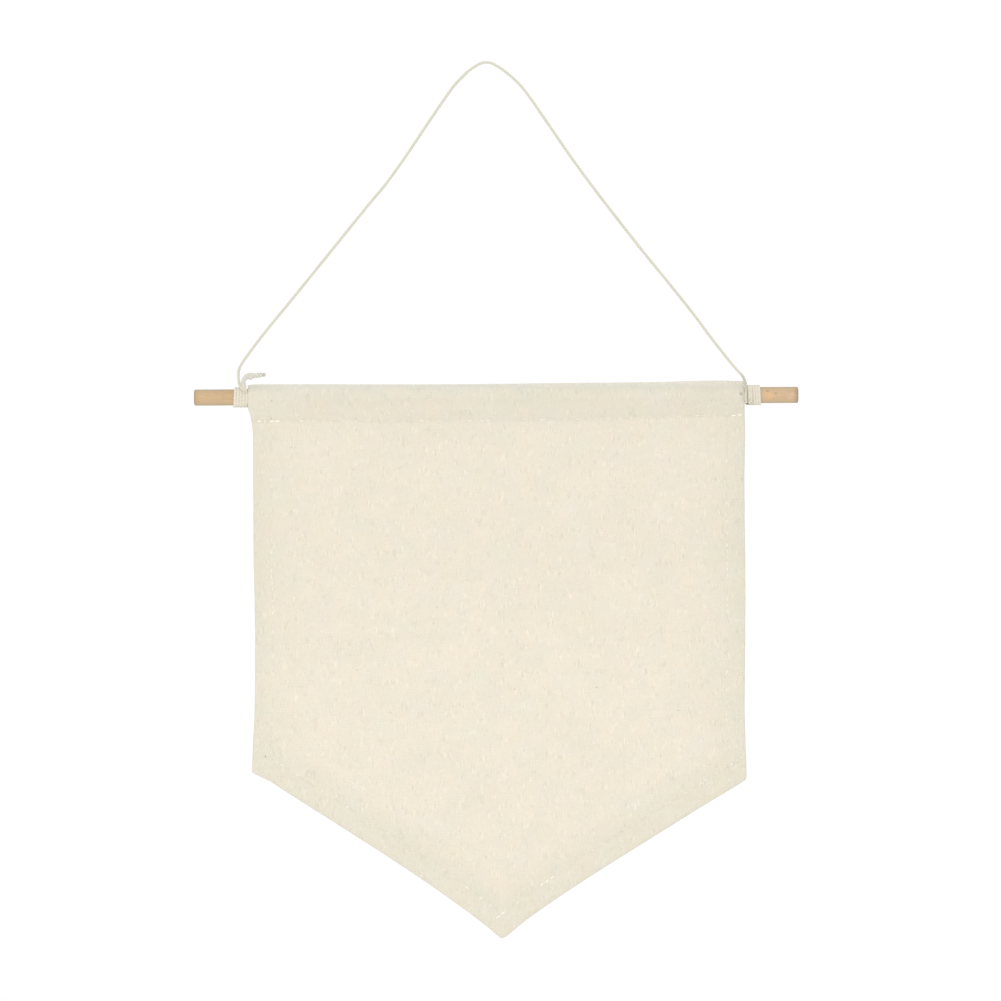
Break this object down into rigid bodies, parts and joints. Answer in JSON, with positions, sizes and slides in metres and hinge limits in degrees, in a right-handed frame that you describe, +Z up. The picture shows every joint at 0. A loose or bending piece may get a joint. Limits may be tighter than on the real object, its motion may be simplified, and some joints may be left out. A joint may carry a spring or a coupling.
{
  "type": "linen wall banner with wooden dowel",
  "caption": "Blank linen wall banner with a pointed lower edge and stitched hems, its rod pocket on a round wooden dowel that hangs from a lashed cotton cord.",
  "frame": {"origin": "underside of the hanging cord's bight, where a nail or hook bears", "axes": "+X to the right along the dowel, +Z up, front of the cloth facing -Y, the wall on the +Y side"},
  "size_m": [0.3, 0.0124, 0.4354],
  "materials": {
    "linen_canvas": "matt plain weave with slubs",
    "pale_wood": "bare sanded",
    "natural_cotton": "matt twisted plies"
  },
  "bodies": {
    "root": {"banner_cloth": "linen_canvas", "dowel": "pale_wood", "hanger_cord": "natural_cotton", "cord_tail": "natural_cotton", "cord_knot": "natural_cotton", "cord_winding_left": "natural_cotton", "cord_winding_right": "natural_cotton"}
  },
  "joints": []
}
